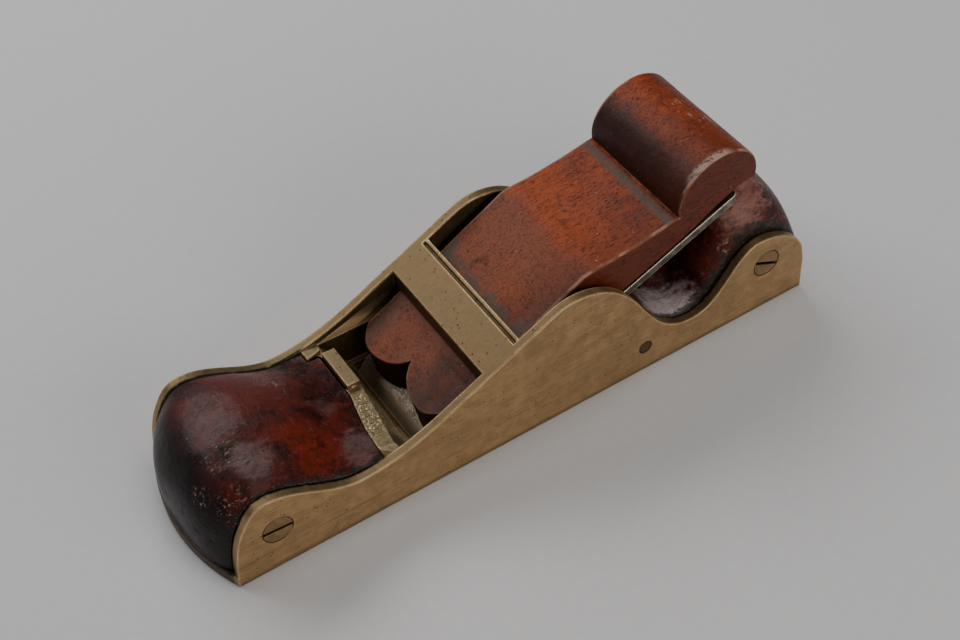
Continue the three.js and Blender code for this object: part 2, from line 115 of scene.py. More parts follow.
class Look:
    """A procedural material under construction; each method adds nodes and returns an output.

    x, y and z are plate millimetres, side is how far from the middle plane, and facing is the
    surface's own direction.
    """

    def __init__(self, name, metallic=0.0, coat=0.0, coat_roughness=0.1, specular=0.5):
        self.material = bpy.data.materials.new(name)
        self.material.use_nodes = True
        self.nodes = self.material.node_tree.nodes
        self.links = self.material.node_tree.links
        self.surface = self.nodes["Principled BSDF"]
        self.surface.inputs["Metallic"].default_value = metallic
        self.surface.inputs["Coat Weight"].default_value = coat
        self.surface.inputs["Coat Roughness"].default_value = coat_roughness
        self.surface.inputs["Specular IOR Level"].default_value = specular
        own = self.nodes.new("ShaderNodeTexCoord").outputs
        self.place = self.vector("MULTIPLY", own["Object"], (1000, 1000, 1000))
        x, self.y, self.z = self.split(self.place)
        self.x = self.calc("SUBTRACT", x, MIDDLE)
        self.side = self.calc("ABSOLUTE", self.y)
        self.facing = self.split(own["Normal"])
        self.sideways = self.calc("ABSOLUTE", self.facing[1])

    def plug(self, socket, value):
        if isinstance(value, bpy.types.NodeSocket):
            self.links.new(value, socket)
        elif isinstance(value, tuple) and len(value) == 3 and len(socket.default_value) == 4:
            socket.default_value = (*value, 1.0)
        else:
            socket.default_value = value

    def vector(self, operation, a, b):
        node = self.nodes.new("ShaderNodeVectorMath")
        node.operation = operation
        self.plug(node.inputs[0], a)
        self.plug(node.inputs[1], b)
        return node.outputs["Value" if operation in ("DISTANCE", "DOT_PRODUCT") else "Vector"]

    def split(self, value):
        node = self.nodes.new("ShaderNodeSeparateXYZ")
        self.plug(node.inputs[0], value)
        return node.outputs

    def calc(self, operation, a, b=0.0):
        node = self.nodes.new("ShaderNodeMath")
        node.operation = operation
        self.plug(node.inputs[0], a)
        self.plug(node.inputs[1], b)
        return node.outputs[0]

    def product(self, first, *rest):
        for value in rest:
            first = self.calc("MULTIPLY", first, value)
        return first

    def either(self, first, *rest):
        for value in rest:
            first = self.calc("MAXIMUM", first, value)
        return first

    def ramp(self, value, low, high, bottom=0.0, top=1.0):
        """Rises smoothly from bottom to top as value goes from low to high."""
        node = self.nodes.new("ShaderNodeMapRange")
        node.interpolation_type = "SMOOTHSTEP"
        self.plug(node.inputs["Value"], value)
        for name, number in zip(("From Min", "From Max", "To Min", "To Max"), (low, high, bottom, top)):
            node.inputs[name].default_value = number
        return node.outputs["Result"]

    def band(self, value, centre, half, soft):
        """1 within half of centre, and 0 beyond soft more."""
        off = self.calc("ABSOLUTE", self.calc("SUBTRACT", value, centre))
        return self.ramp(off, half + soft, half)

    def around(self, point, radius, core=0.2):
        """1 near a point given in plate millimetres, falling to 0 at radius."""
        x, y, z = point
        away = self.vector("DISTANCE", self.place, (x + MIDDLE, y, z))
        return self.ramp(away, radius, radius * core)

    def mix(self, a, b, factor):
        node = self.nodes.new("ShaderNodeMix")
        node.data_type = "RGBA"
        self.plug(node.inputs[0], factor)
        self.plug(node.inputs[6], a)
        self.plug(node.inputs[7], b)
        return node.outputs[2]

    def turned(self, stretch, pitch=0.0):
        """Texture places stretched along the axes, after a turn about Y by pitch."""
        node = self.nodes.new("ShaderNodeMapping")
        node.vector_type = "POINT"
        self.plug(node.inputs["Vector"], self.place)
        node.inputs["Rotation"].default_value = (0, pitch, 0)
        node.inputs["Scale"].default_value = [1 / s for s in stretch]
        return node.outputs["Vector"]

    def noise(self, size, detail=4, rough=0.55, stretch=None, pitch=0.0, twist=0.0):
        """Noise whose features are size mm, or stretch mm along each axis."""
        node = self.nodes.new("ShaderNodeTexNoise")
        self.plug(node.inputs["Vector"], self.turned(stretch or (size,) * 3, pitch))
        node.inputs["Scale"].default_value = 1.0
        node.inputs["Detail"].default_value = detail
        node.inputs["Roughness"].default_value = rough
        node.inputs["Distortion"].default_value = twist
        return node.outputs[0]

    def cells(self, size):
        """Distance to the nearest of scattered points that lie size mm apart, 0 to about 1."""
        node = self.nodes.new("ShaderNodeTexVoronoi")
        self.plug(node.inputs["Vector"], self.turned((size,) * 3))
        node.inputs["Scale"].default_value = 1.0
        return node.outputs["Distance"]

    def edges(self, radius):
        """0 on flat ground, rising towards 1 over edges within radius mm."""
        bevel = self.nodes.new("ShaderNodeBevel")
        bevel.samples = 4
        bevel.inputs["Radius"].default_value = radius * MM
        own = self.nodes.new("ShaderNodeNewGeometry").outputs["Normal"]
        return self.calc("SUBTRACT", 1.0, self.vector("DOT_PRODUCT", bevel.outputs[0], own))

    def corners(self, reach):
        """1 in tight corners of the piece itself, 0 on open ground."""
        node = self.nodes.new("ShaderNodeAmbientOcclusion")
        node.samples = 4
        node.only_local = True
        node.inputs["Distance"].default_value = reach * MM
        return self.calc("SUBTRACT", 1.0, node.outputs["AO"])

    def finish(self, colour, roughness, relief=()):
        """Joins colour and roughness; relief is a list of (height, millimetres of depth)."""
        self.plug(self.surface.inputs["Base Color"], colour)
        self.plug(self.surface.inputs["Roughness"], roughness)
        normal = None
        for height, depth in relief:
            bump = self.nodes.new("ShaderNodeBump")
            bump.inputs["Distance"].default_value = depth * MM
            self.plug(bump.inputs["Height"], height)
            if normal:
                self.links.new(normal, bump.inputs["Normal"])
            normal = bump.outputs[0]
        if normal:
            self.links.new(normal, self.surface.inputs["Normal"])
        return self.material


# ---- materials -----------------------------------------------------------------------------

# Places that the materials mark, in plate millimetres.
WALL_X = -41
THROAT_X = -35
SEAM_FROM_X = 48
TOE_X = -98.5
SCRIBE_Z = 8.0
SCREW_RIM = 6.5
WEDGE_BEND_X = 21.5
LIP_X = 1.4
LOBES_X = -13
LOBE_ENDS_X = -21.5
ROLL_FOOT_X = 50.5
ROLL_TOP = (79, 1, 63)
ROLL_NEAR_END = (64.5, -WEDGE_Y, 66.5)
IRON_HEEL_X = -30


def gunmetal():
    look = Look("aged_gunmetal", metallic=0.62, specular=0.35)
    mottle = look.noise(4.5, detail=8, rough=0.7)
    patina = look.noise(24, detail=3)
    grain = look.noise(1, detail=6, rough=0.75, stretch=(18, 0.28, 0.28))
    colour = look.mix((0.34, 0.205, 0.088), (0.47, 0.295, 0.13), look.ramp(mottle, 0.36, 0.64))
    colour = look.mix(colour, (0.29, 0.17, 0.072), look.ramp(patina, 0.45, 0.70, 0, 0.5))
    colour = look.mix(colour, (0.24, 0.14, 0.06), look.ramp(grain, 0.46, 0.34, 0, 0.6))
    colour = look.mix(colour, (0.60, 0.40, 0.19), look.ramp(grain, 0.56, 0.70, 0, 0.6))
    hair = look.noise(1, detail=2, stretch=(11, 0.13, 0.13), pitch=0.12)
    colour = look.mix(colour, (0.72, 0.52, 0.28), look.ramp(hair, 0.63, 0.69, 0, 0.6))
    on_side = look.ramp(look.sideways, 0.7, 0.9)
    foot = look.product(on_side, look.ramp(look.z, 2.6, 0.3, 0, 0.75))
    colour = look.mix(colour, (0.10, 0.07, 0.035), foot)
    # Faces that look up are painted darker olive as shade; crossing scratches are dark.
    upward_shade = look.product(look.ramp(look.facing[2], 0.5, 0.93), look.ramp(mottle, 0.3, 0.65, 0.95, 0.75))
    colour = look.mix(colour, (0.115, 0.080, 0.036), upward_shade)
    cross = look.noise(1, detail=2, stretch=(6, 0.17, 0.17), pitch=-0.55)
    colour = look.mix(colour, (0.12, 0.08, 0.04), look.ramp(cross, 0.63, 0.70, 0, 0.6))
    # Inside the body the metal was never polished; its darkness there is painted shade, with green specks.
    within = look.ramp(look.side, INNER_Y + 0.35, INNER_Y + 0.05)
    inside = look.product(within, look.ramp(look.z, 2.0, 3.5), look.ramp(look.facing[2], 0.75, 0.45))
    verdigris = look.ramp(look.noise(1.6, detail=5, rough=0.7), 0.56, 0.66, 0, 0.7)
    cavity_shade_and_specks = look.mix((0.065, 0.045, 0.022), (0.11, 0.115, 0.065), verdigris)
    # The wall before the mouth is filed olive metal, rough along its near half.
    between = look.ramp(look.side, INNER_Y - 0.3, INNER_Y - 0.5)
    wall = look.product(between, look.band(look.x, WALL_X, 11, 0.6), look.ramp(look.z, 6, 8))
    colour = look.mix(colour, cavity_shade_and_specks, look.product(inside, look.ramp(wall, 0, 1, 0.9, 0.35)))
    olive = look.mix((0.13, 0.098, 0.047), (0.23, 0.17, 0.083),
                     look.ramp(look.noise(1.3, detail=6, rough=0.75), 0.38, 0.62))
    golden = look.ramp(look.y, 1.5, 3.0, 0.85, 0.35)
    colour = look.mix(colour, olive, look.calc("MULTIPLY", wall, golden))
    filed = look.product(wall, look.ramp(look.y, 1.5, -1.0), look.ramp(look.y, -17, -14),
                         look.ramp(look.noise(0.8, detail=4, rough=0.8), 0.45, 0.57))
    colour = look.mix(colour, (0.70, 0.56, 0.33), look.calc("MULTIPLY", filed, 0.75))
    # Handled edges are bright; dirt sits where wood meets the rims and in inside corners.
    worn = look.product(look.ramp(look.edges(0.9), 0.008, 0.08),
                        look.ramp(look.noise(5), 0.3, 0.6, 0.5, 1.0))
    for x, z in (*SCREWS.values(), PIN):
        for y in (-SIDE_Y, SIDE_Y):
            at_hole = look.around((x, y, z), SCREW_RIM, core=0.85)
            worn = look.calc("MULTIPLY", worn, look.ramp(at_hole, 0, 1, 1, 0))
    throat = look.product(between, look.band(look.x, THROAT_X, 7, 1.5))
    worn = look.product(worn, look.ramp(wall, 0, 1, 1.0, 0.6), look.ramp(throat, 0, 1, 1.0, 0.1))
    colour = look.mix(colour, (0.84, 0.60, 0.31), worn)
    from_middle = look.calc("ABSOLUTE", look.x)
    seam = look.product(look.ramp(look.facing[2], 0.15, 0.4), look.band(look.side, INNER_Y, 0.4, 0.4),
                        look.ramp(from_middle, SEAM_FROM_X, SEAM_FROM_X + 3),
                        look.ramp(look.noise(2.2), 0.3, 0.5, 0.5, 1.0))
    crust = look.ramp(look.corners(1.6), 0.32, 0.75, 0, 0.9)
    dirt = look.either(seam, crust)
    colour = look.mix(colour, (0.030, 0.030, 0.018), dirt)
    # The toe end of the body is painted dark: painted shade.
    toe_shade = look.product(look.ramp(look.x, TOE_X, TOE_X - 1.7), look.ramp(look.side, 26.5, 25.5))
    colour = look.mix(colour, (0.035, 0.022, 0.012), look.calc("MULTIPLY", toe_shade, 0.85))
    pits = look.product(look.ramp(look.cells(1.7), 0.19, 0.08), look.ramp(look.noise(6), 0.47, 0.57))
    colour = look.mix(colour, (0.05, 0.035, 0.02), pits)
    scribe = look.product(on_side, look.band(look.z, SCRIBE_Z, 0.05, 0.12),
                          look.ramp(look.x, -22, -30), look.ramp(look.noise(6), 0.3, 0.5))
    colour = look.mix(colour, (0.09, 0.06, 0.035), look.calc("MULTIPLY", scribe, 0.75))
    rough = look.calc("ADD", look.ramp(mottle, 0.3, 0.7, 0.34, 0.50), look.calc("MULTIPLY", dirt, 0.3))
    fine_grain = look.noise(0.6, detail=4)
    return look.finish(colour, rough, [(grain, 0.05), (fine_grain, 0.035), (filed, 0.12), (pits, -0.12),
                                       (look.noise(14), 0.25)])


def wood_figure(look, pitch):
    """Grain bands, fine fibres and dark pores that run along X, tilted by pitch."""
    bands = look.noise(1, detail=5, rough=0.6, stretch=(38, 3.2, 3.2), pitch=pitch, twist=0.5)
    fibres = look.noise(1, detail=6, rough=0.75, stretch=(7, 0.42, 0.42), pitch=pitch)
    streaks = look.noise(1, detail=3, rough=0.7, stretch=(2.3, 0.42, 0.42), pitch=pitch)
    drifts = look.ramp(look.noise(5, detail=3), 0.40, 0.58, 0.3, 1.0)
    pores = look.product(look.ramp(streaks, 0.57, 0.67), drifts)
    return bands, fibres, pores


def infill_wood(name, tones_and_sheens, chips, dark_from, dark_to):
    """Dark red polished wood, blackened by painted shade from x = dark_from to dark_to.

    tones_and_sheens are (point, radius, colour, strength), both wood tones and painted sheens, and chips
    (point, radius), in plate mm.
    """
    look = Look(name, coat=0.08, coat_roughness=0.16, specular=0.17)
    bands, fibres, pores = wood_figure(look, 0.0)
    cloud = look.noise(12, detail=6, rough=0.65, twist=0.6)
    colour = look.mix((0.020, 0.0045, 0.0035), (0.095, 0.0095, 0.0050), look.ramp(cloud, 0.38, 0.62))
    colour = look.mix(colour, (0.15, 0.020, 0.008), look.ramp(bands, 0.54, 0.72, 0, 0.6))
    edge_noise = look.noise(1, detail=7, rough=0.75, stretch=(5.5, 2.6, 2.6))
    # Patches of the wood's own tone, and painted sheens.
    for point, radius, tone_or_sheen, strength in tones_and_sheens:
        near = look.calc("ADD", look.around(point, radius), look.ramp(edge_noise, 0.3, 0.7, -0.4, 0.4))
        colour = look.mix(colour, tone_or_sheen, look.ramp(near, 0.15, 1.15, 0, strength))
    # Towards the end the wood is blackened: painted shade.
    end_shade = look.ramp(look.x, dark_from, dark_to, 0, 0.95)
    colour = look.mix(colour, (0.005, 0.0022, 0.002), end_shade)
    colour = look.mix(colour, (0.012, 0.004, 0.003), look.ramp(fibres, 0.56, 0.72, 0, 0.75))
    colour = look.mix(colour, (0.008, 0.003, 0.0025), look.calc("MULTIPLY", pores, 0.85))
    # Scrapes through the polish lie in drifts; crud fills the joint along the rims.
    strokes = look.noise(1, detail=4, rough=0.7, stretch=(0.45, 4.5, 1.2))
    scrapes = look.product(look.ramp(strokes, 0.60, 0.68), look.ramp(look.noise(10), 0.48, 0.62),
                           look.ramp(end_shade, 0.2, 0.7, 1, 0))
    colour = look.mix(colour, (0.30, 0.21, 0.19), look.calc("MULTIPLY", scrapes, 0.45))
    crud_edge = look.ramp(look.noise(3.2, detail=5, rough=0.65), 0.35, 0.65, -0.7, 0.7)
    crud = look.ramp(look.calc("ADD", look.side, crud_edge), WOOD_Y - 1.7, WOOD_Y - 0.4, 0, 0.9)
    lumps = look.ramp(look.noise(1.1, detail=5, rough=0.7), 0.50, 0.66)
    crud_colour = look.mix((0.013, 0.012, 0.008), (0.060, 0.056, 0.038), lumps)
    colour = look.mix(colour, crud_colour, look.product(crud, look.ramp(end_shade, 0.3, 0.9, 1, 0)))
    hurt = look.product(look.ramp(look.cells(2.3), 0.11, 0.05), look.ramp(look.noise(9), 0.55, 0.66))
    broken = look.ramp(look.noise(1, detail=5, rough=0.75, stretch=(2.0, 1.0, 1.0)), 0.55, 0.61)
    for point, radius in chips:
        hurt = look.either(hurt, look.product(broken, look.around(point, radius)))
    colour = look.mix(colour, (0.52, 0.39, 0.27), look.calc("MULTIPLY", hurt, 0.8))
    dust = look.ramp(look.noise(0.8, detail=5, rough=0.8), 0.62, 0.76, 0, 0.20)
    colour = look.mix(colour, (0.26, 0.21, 0.19), look.product(dust, look.ramp(end_shade, 0.2, 0.8, 1, 0)))
    rough = look.calc("ADD", look.ramp(cloud, 0.3, 0.7, 0.22, 0.44), look.calc("MULTIPLY", hurt, 0.3))
    wrinkles = look.noise(1, detail=6, rough=0.7, stretch=(1.2, 3.6, 1.2))
    return look.finish(colour, rough, [(look.noise(11, detail=3), 0.6), (wrinkles, 0.26),
                                       (fibres, 0.04), (scrapes, -0.06), (pores, -0.10), (hurt, -0.14)])


def wedge_wood(pitch):
    look = Look("wedge_mahogany", coat=0.04, coat_roughness=0.25, specular=0.22)
    bands, fibres, pores = wood_figure(look, pitch)
    cloud = look.noise(11, detail=6, rough=0.65, twist=0.5)
    colour = look.mix((0.20, 0.030, 0.0060), (0.37, 0.060, 0.0100), look.ramp(cloud, 0.34, 0.66))
    colour = look.mix(colour, (0.11, 0.017, 0.005), look.ramp(bands, 0.48, 0.70, 0, 0.75))
    # The lower face is dusty and rubbed; behind the bend the polish is fresher and more orange.
    front = look.ramp(look.x, WEDGE_BEND_X + 2, WEDGE_BEND_X - 2)
    colour = look.mix(colour, (0.30, 0.100, 0.050), look.calc("MULTIPLY", front, 0.6))
    fresh = look.product(look.ramp(look.x, WEDGE_BEND_X - 0.5, WEDGE_BEND_X + 3.5),
                         look.ramp(look.x, 47, 30))
    colour = look.mix(colour, (0.42, 0.072, 0.008), look.calc("MULTIPLY", fresh, 0.6))
    blotch = look.ramp(look.noise(5.5, detail=6, rough=0.72), 0.54, 0.68, 0, 0.65)
    colour = look.mix(colour, (0.085, 0.016, 0.006), blotch)
    spots = look.product(look.ramp(look.cells(6.0), 0.15, 0.08), look.ramp(look.noise(8), 0.45, 0.55))
    colour = look.mix(colour, (0.045, 0.026, 0.014), look.calc("MULTIPLY", spots, 0.85))
    speckle = look.noise(0.9, detail=5, rough=0.8)
    colour = look.mix(colour, (0.10, 0.020, 0.008), look.ramp(speckle, 0.50, 0.34, 0, 0.6))
    colour = look.mix(colour, (0.50, 0.150, 0.060), look.ramp(speckle, 0.56, 0.70, 0, 0.35))
    # Greyed by handling: the lobes towards the near plate, and the face along both plates.
    lobes = look.ramp(look.x, LOBES_X, LOBES_X - 6)
    greyed = look.either(look.product(lobes, look.ramp(look.y, 2, -15, 0.15, 0.95)),
                         look.product(lobes, look.ramp(look.y, 11, 19, 0, 0.7)),
                         look.product(front, look.ramp(look.side, 17, 23, 0, 0.5)))
    uneven = look.ramp(look.noise(6, detail=5), 0.3, 0.6, 0.4, 1)
    colour = look.mix(colour, (0.062, 0.042, 0.032), look.calc("MULTIPLY", greyed, uneven))
    # Below its front the finger roll is painted dark, painted shade over a dark finish; the sides are
    # painted darker as shade, and the lobes' cut ends are dark.
    on_roll = look.ramp(look.x, ROLL_FOOT_X, ROLL_FOOT_X + 2.5)
    under = look.product(on_roll, look.ramp(look.facing[0], -0.30, -0.72))
    cut_end = look.product(look.ramp(look.x, LOBE_ENDS_X, LOBE_ENDS_X - 2),
                           look.ramp(look.facing[2], 0.5, 0.2))
    shade_and_dark_ends = look.calc("MULTIPLY", look.either(under, cut_end), 0.9)
    colour = look.mix(colour, (0.020, 0.006, 0.0045), shade_and_dark_ends)
    # The sides are painted darker: painted shade.
    on_side = look.ramp(look.sideways, 0.75, 0.92)
    colour = look.mix(colour, (0.085, 0.016, 0.005), look.calc("MULTIPLY", on_side, 0.75))
    # The roll's rear shoulder is painted darker as shade, and the wood darkens towards the near side.
    shaded_shoulder = look.product(on_roll, look.ramp(look.facing[0], 0.1, 0.6, 0, 0.5))
    near_side = look.ramp(look.y, -3, -19, 0, 0.45)
    colour = look.mix(colour, (0.105, 0.020, 0.008), look.either(shaded_shoulder, near_side))
    colour = look.mix(colour, (0.040, 0.010, 0.005), look.ramp(fibres, 0.52, 0.68, 0, 0.8))
    colour = look.mix(colour, (0.030, 0.009, 0.005), look.calc("MULTIPLY", pores, 0.85))
    # Grey dust lies along the bridge's lip and in the corner below the roll.
    ragged = look.ramp(look.noise(3, detail=5, rough=0.7), 0.35, 0.65, -1.4, 2.2)
    spread = look.calc("ADD", ragged, look.ramp(look.side, 14, 21, 0, 3.2))
    upward = look.ramp(look.facing[2], 0.3, 0.8)
    at_lip = look.ramp(look.calc("SUBTRACT", look.x, spread), LIP_X, LIP_X - 3)
    at_lip = look.product(at_lip, look.ramp(look.x, -10, -4), upward)
    at_roll = look.product(look.band(look.x, ROLL_FOOT_X + 0.9, 0.8, 1.4), upward)
    clumps = look.ramp(look.noise(1.2, detail=4), 0.3, 0.55, 0.35, 0.85)
    dust = look.product(look.either(at_lip, at_roll), clumps)
    colour = look.mix(colour, (0.105, 0.095, 0.080), dust)
    worn = look.product(look.ramp(look.edges(0.9), 0.015, 0.10),
                        look.ramp(look.noise(4), 0.35, 0.6, 0.25, 0.9))
    off_near_face = look.ramp(look.facing[1], -0.95, -0.8)
    # Along the near top edge a painted highlight lies over the worn chamfer.
    rubbed = look.product(look.ramp(look.side, WEDGE_Y - 1.4, WEDGE_Y - 0.7),
                          look.ramp(look.facing[2], 0.25, 0.5), off_near_face,
                          look.ramp(look.noise(5, detail=5), 0.40, 0.55, 0.15, 0.75))
    colour = look.mix(colour, (0.50, 0.26, 0.18), look.either(worn, rubbed))
    pale = look.product(look.ramp(look.cells(3.4), 0.09, 0.04), look.ramp(look.noise(8), 0.5, 0.62))
    scratches = look.noise(1, detail=5, stretch=(0.5, 3.5, 0.9))
    scuffs = look.product(look.around(ROLL_TOP, 15), look.ramp(scratches, 0.59, 0.65))
    arris = look.product(look.around(ROLL_NEAR_END, 10, core=0.5),
                         look.ramp(look.side, WEDGE_Y - 3.2, WEDGE_Y - 1.6), off_near_face,
                         look.ramp(look.noise(1.5, detail=4), 0.35, 0.5))
    bare = look.either(pale, scuffs, look.product(arris, 0.85))
    colour = look.mix(colour, (0.55, 0.44, 0.37), look.calc("MULTIPLY", bare, 0.7))
    rough = look.calc("ADD", look.ramp(cloud, 0.3, 0.7, 0.34, 0.52), look.calc("MULTIPLY", dust, 0.3))
    rough = look.calc("ADD", rough, look.calc("MULTIPLY", front, 0.16))
    hollows = look.noise(9, detail=3)
    wrinkles = look.noise(1.6, detail=6, rough=0.7)
    return look.finish(colour, rough, [(hollows, 0.4), (wrinkles, 0.16), (fibres, 0.07), (pores, -0.14)])


def iron_steel():
    look = Look("aged_steel", metallic=1.0)
    cloud = look.noise(7, detail=6, rough=0.65)
    lines = look.noise(1, detail=4, rough=0.6, stretch=(20, 0.3, 0.3))
    colour = look.mix((0.32, 0.28, 0.225), (0.47, 0.43, 0.36), look.ramp(cloud, 0.35, 0.68))
    colour = look.mix(colour, (0.60, 0.57, 0.50), look.ramp(lines, 0.55, 0.75, 0, 0.5))
    ground = look.ramp(look.x, IRON_HEEL_X + 0.3, IRON_HEEL_X - 0.3)
    colour = look.mix(colour, (0.17, 0.135, 0.090), look.calc("MULTIPLY", ground, 0.9))
    # Its lower end, in the throat, is stained and has lost its shine.
    low_end = look.ramp(look.x, IRON_HEEL_X + 14, IRON_HEEL_X + 10)
    colour = look.mix(colour, (0.26, 0.19, 0.115), look.calc("MULTIPLY", low_end, 0.85))
    look.plug(look.surface.inputs["Metallic"], look.ramp(low_end, 0, 1, 1.0, 0.3))
    grit = look.noise(1.2, detail=6, rough=0.8)
    colour = look.mix(colour, (0.20, 0.15, 0.10), look.ramp(grit, 0.52, 0.62, 0, 0.7))
    rubbed = look.product(look.band(look.x, IRON_HEEL_X + 2, 1.2, 2.5), look.ramp(grit, 0.50, 0.42))
    colour = look.mix(colour, (0.72, 0.64, 0.50), look.calc("MULTIPLY", rubbed, 0.8))
    rust = look.ramp(look.noise(2.6, detail=6, rough=0.75), 0.58, 0.68, 0, 0.75)
    colour = look.mix(colour, (0.085, 0.045, 0.024), rust)
    on_side = look.ramp(look.sideways, 0.75, 0.92)
    stained = look.ramp(look.noise(3, detail=5), 0.35, 0.6, 0.35, 0.9)
    colour = look.mix(colour, (0.10, 0.075, 0.055), look.calc("MULTIPLY", on_side, stained))
    # Its edges are painted nearly white: painted highlight.
    colour = look.mix(colour, (0.92, 0.88, 0.80), look.ramp(look.edges(0.6), 0.01, 0.09, 0, 0.95))
    rough = look.calc("ADD", look.ramp(cloud, 0.3, 0.7, 0.28, 0.42), look.calc("MULTIPLY", rust, 0.3))
    return look.finish(colour, rough, [(lines, 0.03), (rubbed, 0.08), (look.noise(1.1), 0.04)])


def fastener_brass():
    look = Look("aged_screw_brass", metallic=0.75)
    mottle = look.noise(1.8, detail=5, rough=0.65)
    colour = look.mix((0.21, 0.135, 0.062), (0.33, 0.21, 0.098), look.ramp(mottle, 0.35, 0.65))
    hair = look.noise(1, stretch=(6, 0.3, 0.3))
    colour = look.mix(colour, (0.46, 0.32, 0.17), look.ramp(hair, 0.55, 0.75, 0, 0.5))
    worn = look.ramp(look.edges(0.35), 0.03, 0.25, 0, 0.6)
    colour = look.mix(colour, (0.42, 0.29, 0.15), worn)
    on_pin = look.band(look.x, PIN[0], 4.0, 1.0)
    colour = look.mix(colour, (0.070, 0.045, 0.020), look.calc("MULTIPLY", on_pin, 0.85))
    deep = look.ramp(look.side, SIDE_Y - 0.2, SIDE_Y - 0.6)
    colour = look.mix(colour, (0.03, 0.020, 0.011), deep)
    rough = look.ramp(mottle, 0.3, 0.7, 0.42, 0.58)
    return look.finish(colour, rough, [(mottle, 0.05), (look.noise(0.5), 0.03)])


# ---- meshes --------------------------------------------------------------------------------

def add_piece(name, bm):
    """A new object from a bmesh in frame metres, shaded smooth."""
    bmesh.ops.recalc_face_normals(bm, faces=bm.faces)
    mesh = bpy.data.meshes.new(name)
    bm.to_mesh(mesh)
    bm.free()
    mesh.shade_smooth()
    piece = bpy.data.objects.new(name, mesh)
    bpy.context.scene.collection.objects.link(piece)
    return piece


def settle(piece):
    """Applies the piece's modifiers."""
    shown = piece.evaluated_get(bpy.context.evaluated_depsgraph_get())
    mesh = bpy.data.meshes.new_from_object(shown)
    piece.modifiers.clear()
    piece.data = mesh
    return piece


def weigh_normals(piece, sharp_angle):
    piece.data.set_sharp_from_angle(angle=math.radians(sharp_angle))
    weighted = piece.modifiers.new("even", "WEIGHTED_NORMAL")
    weighted.keep_sharp = True
    return settle(piece)


def rounded_copy(node, name, rounding, wanted=lambda low, high: True, steps=3):
    """A copy of a CAD node with its outer edges rounded off where wanted(low, high) allows."""
    bm = bmesh.new()
    bm.from_mesh(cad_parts[node].data)
    bmesh.ops.remove_doubles(bm, verts=bm.verts, dist=2e-6)
    bmesh.ops.dissolve_limit(bm, angle_limit=math.radians(0.3), verts=bm.verts, edges=bm.edges)
    least = math.radians(28)
    chosen = []
    for edge in bm.edges:
        a, b = (v.co / MM for v in edge.verts)
        low = Vector(map(min, a, b))
        high = Vector(map(max, a, b))
        low.x -= MIDDLE
        high.x -= MIDDLE
        if edge.is_manifold and edge.is_convex and edge.calc_face_angle() > least and wanted(low, high):
            chosen.append(edge)
    bmesh.ops.bevel(bm, geom=chosen, offset=rounding * MM, segments=steps, profile=0.5,
                    affect="EDGES", clamp_overlap=False)
    return weigh_normals(add_piece(name, bm), 50)


def cubic(start, *arcs, steps=40):
    """Points along cubic arcs (control, control, end) and straight runs (end,)."""
    points = [Vector(start)]
    for arc in arcs:
        a = points[-1]
        if len(arc) == 1:
            points.append(Vector(arc[0]))
            continue
        b, c, d = (Vector(p) for p in arc)
        for k in range(1, steps + 1):
            t = k / steps
            s = 1 - t
            points.append(s ** 3 * a + 3 * s * s * t * b + 3 * s * t * t * c + t ** 3 * d)
    return points


def spaced(points, count):
    """count points at equal steps along a line of points."""
    reach = [0.0]
    for a, b in zip(points, points[1:]):
        reach.append(reach[-1] + (b - a).length)
    found = []
    k = 0
    for i in range(count):
        want = reach[-1] * i / (count - 1)
        while k < len(points) - 2 and reach[k + 1] < want:
            k += 1
        span = max(reach[k + 1] - reach[k], 1e-9)
        found.append(points[k].lerp(points[k + 1], min(1.0, (want - reach[k]) / span)))
    return found


def fine(points, step):
    """The same line with its long runs cut to pieces of at most step; every corner stays."""
    found = [points[0]]
    for a, b in zip(points, points[1:]):
        cuts = max(1, math.ceil((b - a).length / step))
        found += [a.lerp(b, k / cuts) for k in range(1, cuts + 1)]
    return found


def loft(name, rings):
    """A closed piece through rings of points (x, y, z) in plate millimetres."""
    bm = bmesh.new()
    rows = [[bm.verts.new(((p[0] + MIDDLE) * MM, p[1] * MM, p[2] * MM)) for p in ring] for ring in rings]
    count = len(rows[0])
    for a, b in zip(rows, rows[1:]):
        for i in range(count):
            j = (i + 1) % count
            bm.faces.new((a[i], a[j], b[j], b[i]))
    bm.faces.new(rows[0])
    bm.faces.new(rows[-1])
    return add_piece(name, bm)


def wear(piece, broad, dings, spare=lambda p: 1.0):
    """Moves the surface in unevenly: broad mm over wide hollows, dings mm in small dents."""
    mesh = piece.data
    normals = [v.normal.copy() for v in mesh.vertices]
    for v, normal in zip(mesh.vertices, normals):
        p = v.co / MM
        wide = 0.5 + 0.5 * noise.noise(p / 11.0)
        near = noise.voronoi(p / 4.2)[0][0]
        dented = noise.noise(p / 9.0 + Vector((5, 7, 3))) > 0.08
        dent = max(0.0, 1.0 - near / 0.32) ** 2 if dented else 0.0
        v.co -= normal * (broad * wide + dings * dent) * spare(p) * MM
    mesh.update()
    return piece


# ---- infills -------------------------------------------------------------------------------

TOE_RIM = (
    ((-99.8, 10), (-98.2, 18), (-95.3, 22.5)),
    ((-93, 27), (-90.5, 28.9), (-87, 28.9)),
    ((-77, 28.9), (-68, 17.9), (-58, 17.9)),
)
HEEL_RIM = (
    ((41, 22.3), (46, 11.8), (57, 11.8)),
    ((68, 11.8), (71.5, 29.7), (81.5, 29.7)),
    ((88.5, 29.7), (96.5, 25.5), (99, 18)),
)


def stations(count):
    """Places across a block from -1 to 1, closer together near the plates."""
    return [math.sin(math.pi / 2 * (2 * k / (count - 1) - 1)) for k in range(count)]


def block_rings(edge, crown, fullness, across):
    rings = []
    for s in across:
        ring = []
        for i, (e, c) in enumerate(zip(edge, crown)):
            x, z = e.lerp(c, fullness(abs(s), i / (len(edge) - 1)))
            ring.append((x, s * WOOD_Y, z))
        rings.append(ring)
    return rings


